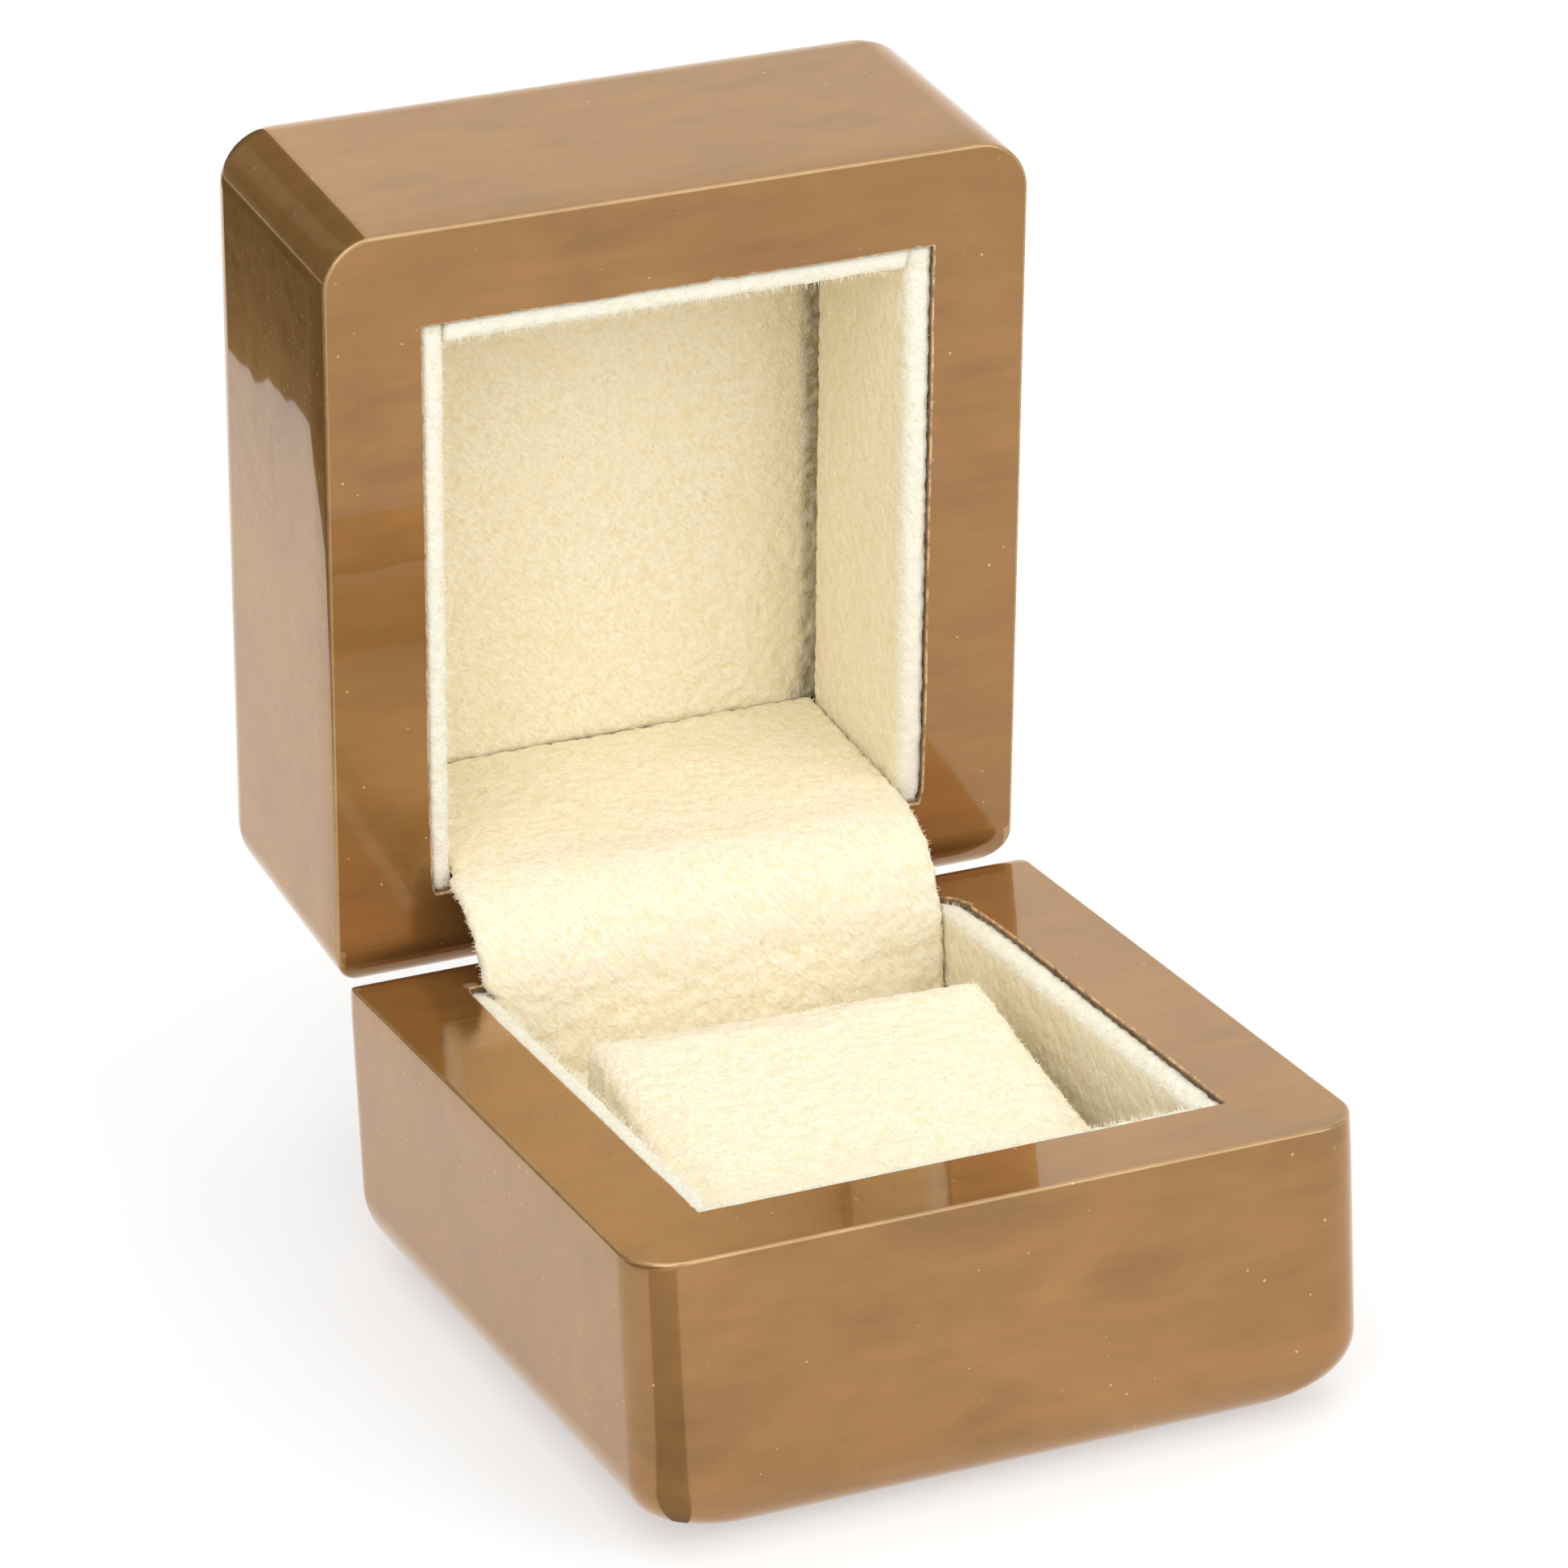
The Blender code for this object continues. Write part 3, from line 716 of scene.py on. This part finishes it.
def swell(obj, pinned, cap):
    """Blows a soft form up with Blender's cloth, enlarged so that the solver behaves, and caps its growth."""
    rest = np.array([v.co for v in obj.data.vertices])
    for vertex in obj.data.vertices:
        vertex.co *= SIM_SCALE
    group = obj.vertex_groups.new(name="pinned")
    group.add([i for i, point in enumerate(rest) if pinned(Vector(point))], 1.0, "REPLACE")
    cloth = obj.modifiers.new("swell", "CLOTH")
    cloth.settings.quality = SIM_QUALITY
    cloth.settings.use_pressure = True
    cloth.settings.uniform_pressure_force = SIM_PRESSURE
    cloth.settings.effector_weights.gravity = 0
    cloth.settings.vertex_group_mass = "pinned"
    cloth.settings.tension_stiffness = SIM_TENSION
    cloth.settings.bending_stiffness = SIM_BENDING
    cloth.point_cache.frame_start = 1
    cloth.point_cache.frame_end = SIM_FRAMES
    for moment in range(1, SIM_FRAMES + 1):
        bpy.context.scene.frame_set(moment)
    settle(obj)
    bpy.context.scene.frame_set(1)
    moved = np.array([v.co for v in obj.data.vertices]) / SIM_SCALE - rest
    length = np.linalg.norm(moved, axis=1, keepdims=True)
    moved *= np.minimum(1, cap / np.maximum(length, 1e-9))
    obj.data.vertices.foreach_set("co", (rest + moved).astype(np.float32).ravel())
    obj.vertex_groups.clear()


def refine(obj, levels):
    """Subdivides a mesh smoothly."""
    subdivision = obj.modifiers.new("refine", "SUBSURF")
    subdivision.levels = levels
    subdivision.render_levels = levels
    settle(obj)


def nap(point):
    """How high the pile stands here, from about -0.5 to 0.5: soft tufts between grooves, and finer locks."""
    combed = Vector((point.x + 0.4 * point.y, 0.8 * point.y - 0.3 * point.x, 0.8 * point.z))
    tuft = min(1.0, 3 * abs(noise.noise(combed / NAP_TUFT)))
    return 0.7 * (tuft - 0.5) + 0.3 * noise.noise(combed / NAP_FINE)


def comb(obj, turned=None, sunk=None, strength=1.0):
    """Raises the nap along the normals, and stores it for the plush's painted shade. turned(point) is 1 at a
    turned edge, painted whiter, and sunk(point) 1 deep in a seam, where the nap sinks and is painted darker
    as shade.
    """
    mesh = obj.data
    whiter = mesh.attributes.new("turned", "FLOAT", "POINT")
    whiter.data.foreach_set("value", [turned(vertex.co) if turned else 0.0 for vertex in mesh.vertices])
    # The pile, lowered where sunk, sets the nap's height and the plush's painted shade
    pile = [nap(vertex.co) - (sunk(vertex.co) if sunk else 0.0) for vertex in mesh.vertices]
    mesh.attributes.new("pile", "FLOAT", "POINT").data.foreach_set("value", pile)
    depth = NAP_DEPTH * strength
    places = [vertex.co + vertex.normal * rise * depth for vertex, rise in zip(mesh.vertices, pile)]
    for vertex, place in zip(mesh.vertices, places):
        vertex.co = place
    mesh.shade_smooth()


def finish_soft(obj, half, node):
    """Puts a soft piece that was shaped in shell coordinates in place of its CAD solid."""
    obj.data.transform(TO_ROW[half])
    obj.data.update()
    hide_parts(node)
    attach(obj, half)


def turned_edge(point):
    """1 on the turned top of a lining wall, falling to 0 just below it: where the plush is painted whiter,
    partly as a painted highlight.
    """
    return clamp((point.z + TURNED_DEPTH) / TURNED_FADE)


def build_liner(half, side, look):
    """A lining wall. Its turned top is full and comes close to the wood, whose rear corners it follows."""
    node = f"{half}_liner_{side}"
    low, high = shell_box(node)
    bm = block_grid(low, high, CLOTH_STEP)
    length = 0 if side == "front" else 1
    depth = 1 - length
    outer = max(abs(low[depth]), abs(high[depth])) - NEAR
    crease = bm.edges.layers.float.new("crease_edge")
    for edge in bm.edges:
        round_end = len({round(abs(face.normal[length])) for face in edge.link_faces}) > 1
        by_wood = all(p.co.z > high.z - NEAR and abs(p.co[depth]) > outer for p in edge.verts)
        if round_end or by_wood:
            edge[crease] = TURN_CREASE
    for vertex in bm.verts:
        if abs(vertex.co[length]) > high[length] - NEAR:
            vertex.co[length] += math.copysign(END_REACH, vertex.co[length])
        if abs(vertex.co[depth]) > outer:
            fullness = FULLNESS * clamp((vertex.co.z - high.z) / (2 * MM) + 1.5)
            vertex.co[depth] += math.copysign(fullness, vertex.co[depth])
        if side != "front":
            limit = opening_half_x(half, vertex.co.y, vertex.co.x) - NEAR_WOOD
            vertex.co.x = math.copysign(min(limit, abs(vertex.co.x)), vertex.co.x)
    wall = make_object(node + "_plush", bm, [look])
    refine(wall, 2)
    # The turned top is painted whiter, partly as a painted highlight
    comb(wall, turned_edge, strength=0.8)
    finish_soft(wall, half, node)


def rolled_down(point):
    """0 on the flat of the lid panel, rising to 1 at its left and right edges."""
    return clamp((abs(point.x) - PANEL_FLAT) / PANEL_ROLL_WIDTH)


def build_panel(look):
    """The padded panel at the bottom of the lid's hollow: slightly crowned, its sides rolled down and painted
    darker there as shade.
    """
    low, high = shell_box("lid_panel")
    bm = block_grid(low, high, CLOTH_STEP)
    for vertex in bm.verts:
        if vertex.co.z > high.z - NEAR:
            vertex.co.z -= PANEL_ROLL * rolled_down(vertex.co)
    panel = make_object("lid_panel_plush", bm, [look])
    swell(panel, lambda p: p.z < high.z - 0.1 * MM, PANEL_SWELL)
    refine(panel, 2)
    # Painted shade: the rolled sides darken towards the seams beside the lining walls
    comb(panel, sunk=rolled_down)
    finish_soft(panel, "lid", "lid_panel")
    return panel


def build_card(look):
    """The plush-covered card on the floor of the base's hollow."""
    low, high = shell_box("base_floor_card")
    card = make_object("base_floor_plush", block_grid(low, high, 2 * CLOTH_STEP), [look])
    refine(card, 3)
    comb(card)
    finish_soft(card, "base", "base_floor_card")


def build_pad(prefix, ends, rear_top, slope, droop, flare, look):
    """A plush cover, open underneath over its foam: a ramp with soft top edges, wider at its front, its sides
    painted darker lower down as shade.
    """
    node = prefix + "_cover"
    front, rear = ends
    low = shell_box(node)[0].z
    half_x = PAD_HALF_WIDTH
    bm = block_grid(Vector((-half_x, front, low)), Vector((half_x, rear, rear_top)), CLOTH_STEP)
    for vertex in bm.verts:
        share = (vertex.co.z - low) / (rear_top - low)
        top = rear_top - slope * (rear - vertex.co.y) - droop * max(0.0, vertex.co.x / half_x) ** 2
        vertex.co.z = low + (top - low) * share
        vertex.co.x *= 1 + flare / half_x * (rear - vertex.co.y) / (rear - front)
    open_side = [face for face in bm.faces if face.normal.z < -0.9]
    bmesh.ops.delete(bm, geom=open_side, context="FACES")
    pad = make_object(prefix + "_plush", bm, [look])
    swell(pad, lambda p: p.z < low + 2.5 * MM, PAD_SWELL)
    wall = pad.modifiers.new("cloth", "SOLIDIFY")
    wall.thickness = COVER_THICKNESS
    wall.offset = -1
    settle(pad)
    refine(pad, 2)
    # Painted shade: the further below the top, the darker the sides, up to PAD_DEEPEST
    comb(pad, sunk=lambda p: clamp((rear_top - slope * (rear - p.y) - p.z) / PAD_SHADE - 0.3, PAD_DEEPEST))
    pad.data.transform(Matrix.Translation((PAD_SHIFT, 0, 0)) @ Matrix.Rotation(PAD_YAW, 4, "Z"))
    finish_soft(pad, "base", node)
    return pad


def flap_point(travel, depth):
    """(y, z) in the row frame: travel goes up the base's rear wall, round the hinge and along the lid's."""
    radius = FLAP_RADIUS - depth
    if travel <= FLAP_RISE:
        return HINGE.y - radius, FLAP_LOW + travel
    turn = min(travel - FLAP_RISE, FLAP_BEND) / FLAP_RADIUS
    y = HINGE.y - radius * math.cos(turn)
    z = HINGE.z + radius * math.sin(turn)
    beyond = max(0.0, travel - FLAP_RISE - FLAP_BEND)
    return y + beyond * math.sin(OPEN_ANGLE), z + beyond * math.cos(OPEN_ANGLE)


def flap_spread(travel):
    """0 where the flap is squeezed between the lining walls, 1 where it spreads over the hinge."""
    rising = (travel - FLAP_RISE) / SPREAD_OVER
    falling = (FLAP_RISE + FLAP_BEND + SPREAD_BEYOND - travel) / SPREAD_OVER
    share = clamp(min(rising, falling))
    return share * share * (3 - 2 * share)


def flap_creases(x, travel):
    """Soft waves all over, and short creases where the flap is pressed against the base's rear wall."""
    waves = noise.noise(Vector((x / (9 * MM), travel / (5 * MM), 3))) * WAVE_HEIGHT
    pressed = math.exp(-((travel - CREASE_TRAVEL) / CREASE_REACH) ** 2)
    return waves + pressed * noise.noise(Vector((x / (2.6 * MM), travel / (1.6 * MM), 8))) * CREASE_HEIGHT


def bend_over_hinge(piece):
    """Bakes the piece's placement into its mesh; the piece is attached to neither half."""
    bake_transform(piece)


def build_flap(look):
    """A strip as wide as the opening: squeezed between the lining walls, and spread over the hinge."""
    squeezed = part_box("bridge_flap")[1].x + FLAP_FULLNESS
    strip = block_grid(Vector((-squeezed, 0, 0)), Vector((squeezed, FLAP_LENGTH, FLAP_THICKNESS)), CLOTH_STEP)
    flap = make_object("bridge_flap_plush", strip, [look])
    refine(flap, 2)
    comb(flap)
    for vertex in flap.data.vertices:
        x, travel, lift = vertex.co
        y, z = flap_point(travel, FLAP_THICKNESS - lift - flap_creases(x, travel))
        across = (x + squeezed) / (2 * squeezed)
        spread = flap_spread(travel)
        left = -squeezed + (SPREAD_LEFT + squeezed) * spread
        right = squeezed + (SPREAD_RIGHT - squeezed) * spread
        vertex.co = (left + (right - left) * across, y, z)
    bm = bmesh.new()
    bm.from_mesh(flap.data)
    bmesh.ops.recalc_face_normals(bm, faces=bm.faces)
    bm.to_mesh(flap.data)
    bm.free()
    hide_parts("bridge_flap")
    bend_over_hinge(flap)
    return flap


def add_fibre(bm, root, direction, length):
    """One closed tapering fibre."""
    side = direction.orthogonal().normalized()
    across = direction.cross(side)
    ring = []
    for step in range(3):
        angle = 2 * math.pi * step / 3
        ring.append(bm.verts.new(root + (side * math.cos(angle) + across * math.sin(angle)) * FIBRE_RADIUS))
    tip = bm.verts.new(root + direction * length)
    bm.faces.new(ring[::-1])
    for i in range(3):
        bm.faces.new((ring[i], ring[(i + 1) % 3], tip))


def build_fringe(half, look, rng):
    """The cut fibres that stand along the turned edges of a half's lining."""
    bm = bmesh.new()
    for side in ("left", "right", "front"):
        low, high = shell_box(f"{half}_liner_{side}")
        long_axis = 0 if side == "front" else 1
        wide_axis = 1 - long_axis
        length = high[long_axis] - low[long_axis]
        for _ in range(int(length * FIBRES_PER_METRE)):
            root = Vector((0, 0, high.z - 0.12 * MM))
            root[long_axis] = low[long_axis] + rng.random() * length
            share = rng.random()
            root[wide_axis] = low[wide_axis] + share * (high[wide_axis] - low[wide_axis])
            lean = Vector((0, 0, FRINGE_RISE))
            lean[wide_axis] = (share - 0.5) * FRINGE_SPLAY
            root.z -= 0.3 * MM * abs(2 * share - 1) ** 3
            limit = opening_half_x(half, root.y, root.x) - NEAR_WOOD
            root.x = math.copysign(min(limit, abs(root.x)), root.x)
            lean += Vector((rng.gauss(0, FRINGE_SCATTER), rng.gauss(0, FRINGE_SCATTER), rng.gauss(0, 0.2)))
            add_fibre(bm, root, lean.normalized(), FIBRE_LENGTH * rng.uniform(0.6, 1.3))
    fringe = make_object(half + "_lining_fringe", bm, [look], half)
    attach(fringe, half)


def grow_fuzz(piece, count, edge, look, rng):
    """Short loose fibres on a finished soft piece, nearly all of them where edge(normal) is true."""
    mesh = piece.data
    places = [face for face in mesh.polygons if edge(face.normal)]
    others = [face for face in mesh.polygons if not edge(face.normal)]
    bm = bmesh.new()
    for number in range(count):
        face = rng.choice(others if number % STRAY_EVERY == 0 else places)
        weights = [rng.random() for _ in face.vertices]
        root = Vector((0, 0, 0))
        for index, weight in zip(face.vertices, weights):
            root += mesh.vertices[index].co * weight / sum(weights)
        lean = face.normal + Vector([rng.gauss(0, FUZZ_SCATTER) for _ in range(3)])
        add_fibre(bm, root, lean.normalized(), FIBRE_LENGTH * rng.uniform(0.35, 0.85))
    fuzz = make_object(piece.name.replace("_plush", "_fuzz"), bm, [look])
    return fuzz


# Small parts

def build_felt(look):
    """The felt underneath, with rounded corners and a slightly ragged edge."""
    low, high = shell_box("base_felt")
    bm = block_grid(low, high, 1.5 * MM)
    straight = Vector((high.x - CORNER_RADIUS, high.y - CORNER_RADIUS))
    for vertex in bm.verts:
        over = Vector((abs(vertex.co.x) - straight.x, abs(vertex.co.y) - straight.y))
        if min(over) > 0:
            over = over.normalized() * max(over)
            vertex.co.x = math.copysign(straight.x + over.x, vertex.co.x)
            vertex.co.y = math.copysign(straight.y + over.y, vertex.co.y)
    felt = make_object("base_felt_looks", bm, [look])
    refine(felt, 1)
    for vertex in felt.data.vertices:
        fuzz = noise.noise(vertex.co / (0.9 * MM)) * 0.05 * MM
        underside = vertex.co.z < low.z + 0.2 * MM
        vertex.co += Vector((0, 0, max(0.0, fuzz))) if underside else vertex.normal * fuzz
    felt.data.shade_smooth()
    felt.data.transform(TO_ROW["base"])
    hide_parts("base_felt")
    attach(felt, "base")


def dress_node(name, look):
    """A better material on a CAD node that stays."""
    node = frame["nodes"][name]
    node.data.materials.clear()
    node.data.materials.append(look)


# Studio

def stage_sheet(name, bm, tone, glow):
    """A plain matt sheet of this grey, which may glow white."""
    look = Look(name, Roughness=0.95, Specular_IOR_Level=0.0, Emission_Strength=glow)
    look.set(look.shader, {"Base Color": (tone, tone, tone, 1), "Emission Color": (1, 1, 1, 1)})
    sheet = make_object(name, bm, [look.material])
    return sheet


def polygon(corners):
    """One flat face."""
    bm = bmesh.new()
    bm.faces.new([bm.verts.new(corner) for corner in corners])
    return bm


def level_rectangle(low, high, z):
    """A level sheet between two opposite corners, at this height."""
    return polygon([(low[0], low[1], z), (high[0], low[1], z), (high[0], high[1], z), (low[0], high[1], z)])


def reflection_card(name, bm, tone, glow=0.0):
    """A sheet that only reflections see."""
    card = stage_sheet(name, bm, tone, glow)
    card.visible_camera = False
    card.visible_diffuse = False
    card.visible_shadow = False


def corner_wedge():
    """A wedge on the floor that opens away from the base's front left corner."""
    corner = Vector((CORNER_RADIUS - HALF_WIDTH, CORNER_RADIUS - REAR, CARD_HEIGHT))
    first, last = [math.radians(bearing) for bearing in CORNER_CARD_BEARINGS]
    near, far = CORNER_CARD_REACH
    corners = []
    for turn, reach in ((first, near), (first, far), (last, far), (last, near)):
        corners.append(corner + Vector((math.sin(turn), -math.cos(turn), 0)) * reach)
    return polygon(corners)


def build_backdrop():
    """A white wall all round, which only the camera sees."""
    bm = bmesh.new()
    radius = FLOOR_REACH
    bmesh.ops.create_cone(bm, segments=64, radius1=radius, radius2=radius, depth=2 * radius)
    wall = stage_sheet("backdrop", bm, 0.0, 1.0)
    wall.visible_diffuse = False
    wall.visible_glossy = False
    wall.visible_shadow = False


def build_stage():
    """A pale light table before a white wall, and the cards and screens that shape the reflections."""
    reach = FLOOR_REACH
    stage_sheet("floor", level_rectangle((-reach, -reach), (reach, reach), 0), FLOOR_TONE, FLOOR_GLOW)
    build_backdrop()
    reflection_card("table_card", level_rectangle(*TABLE_CARD, CARD_HEIGHT), TABLE_CARD_TONE)
    reflection_card("corner_card", corner_wedge(), CORNER_CARD_TONE)
    for number, (start, end, glow) in enumerate(SCREENS):
        outline = ((start, 0), (end, 0), (end, SCREEN_HEIGHT), (start, SCREEN_HEIGHT))
        upright = polygon([(x, SCREEN_Y, z) for x, z in outline])
        reflection_card(f"screen_{number}", upright, 0.0, glow)


def soft_light(name, toward, strength, spread):
    """A wide lamp in this direction, even over the whole table."""
    data = bpy.data.lights.new(name, "SUN")
    data.energy = strength
    data.angle = math.radians(spread)
    lamp = bpy.data.objects.new(name, data)
    lamp.rotation_euler = Vector(toward).to_track_quat("Z", "Y").to_euler()
    bpy.context.scene.collection.objects.link(lamp)


def build_light():
    """A world that is bright behind and to the right and dim elsewhere, and wide lamps."""
    world = bpy.data.worlds.new("studio")
    world.use_nodes = True
    nodes = world.node_tree.nodes
    links = world.node_tree.links
    split = nodes.new("ShaderNodeSeparateXYZ")
    links.new(nodes.new("ShaderNodeTexCoord").outputs["Generated"], split.inputs[0])
    strength = nodes.new("ShaderNodeMath")
    strength.operation = "MULTIPLY"
    for slot, (axis, (start, end)) in enumerate(BRIGHT_FROM.items()):
        side = nodes.new("ShaderNodeMapRange")
        side.interpolation_type = "SMOOTHSTEP"
        side.inputs["From Min"].default_value = start
        side.inputs["From Max"].default_value = end
        links.new(split.outputs[axis], side.inputs["Value"])
        links.new(side.outputs["Result"], strength.inputs[slot])
    level = nodes.new("ShaderNodeMapRange")
    level.inputs["To Min"].default_value = DIM_SIDE
    level.inputs["To Max"].default_value = BRIGHT_SIDE
    links.new(strength.outputs["Value"], level.inputs["Value"])
    links.new(level.outputs["Result"], nodes["Background"].inputs["Strength"])
    nodes["Background"].inputs["Color"].default_value = (1, 1, 1, 1)
    bpy.context.scene.world = world
    for name, (toward, energy, spread) in LAMPS.items():
        soft_light(name, toward, energy, spread)


def build_camera():
    """A long lens from the front left, a little above the box."""
    data = bpy.data.cameras.new("camera")
    data.lens = CAMERA_LENS
    data.sensor_width = SENSOR_WIDTH
    data.clip_start = 0.01
    data.clip_end = 10
    camera = bpy.data.objects.new("camera", data)
    camera.location = CAMERA_PLACE
    camera.rotation_euler = [math.radians(angle) for angle in CAMERA_TURN]
    bpy.context.scene.collection.objects.link(camera)
    bpy.context.scene.camera = camera


def build_soft(cream, fibres, rng):
    """Every soft piece, and its loose fibres."""
    for half in ("base", "lid"):
        for side in ("left", "right", "front"):
            build_liner(half, side, cream)
        build_fringe(half, fibres, rng)
    build_card(cream)
    panel = build_panel(cream)
    flap = build_flap(cream)
    ramp_ends = (RAMP_FRONT, RAMP_REAR)
    ramp = build_pad("ring_ramp", ramp_ends, RAMP_REAR_TOP, RAMP_SLOPE, PAD_DROOP, PAD_FLARE, cream)
    block = build_pad("ring_block", (BLOCK_FRONT, BLOCK_REAR), BLOCK_TOP, 0.0, 0.0, 0.0, cream)
    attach(grow_fuzz(panel, FUZZ["panel"], lambda n: 0.2 < max(abs(n.x), -n.z) < 0.9, fibres, rng), "lid")
    bend_over_hinge(grow_fuzz(flap, FUZZ["flap"], lambda n: abs(n.x) > 0.3, fibres, rng))
    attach(grow_fuzz(ramp, FUZZ["ramp"], lambda n: 0.25 < n.z < 0.9, fibres, rng), "base")
    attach(grow_fuzz(block, FUZZ["block"], lambda n: 0.25 < n.z < 0.9, fibres, rng), "base")


def build():
    """The whole scene: studio, shells, soft pieces, felt, and better materials on the CAD nodes that stay."""
    build_camera()
    build_light()
    build_stage()
    bpy.context.scene.view_settings.view_transform = "Standard"
    # The arrises' paler lacquer is partly wear and partly a painted highlight
    looks = [lacquer("bronze_lacquer", *WOOD), lacquer("arris_wear_and_highlight", *WEAR_AND_HIGHLIGHT_WOOD), raw_edge(), bare_board()]
    build_shell("base", looks, 1)
    build_shell("lid", looks, 2)
    build_soft(plush(), cut_fibre(), random.Random(FIBRE_SEED))
    build_felt(pressed_felt())
    metal = nickel()
    foam = open_foam()
    for name in frame["nodes"]:
        if "foam" in name:
            dress_node(name, foam)
        elif "leaf" in name or name in ("hinge_pin", "snap_spring"):
            dress_node(name, metal)


build()
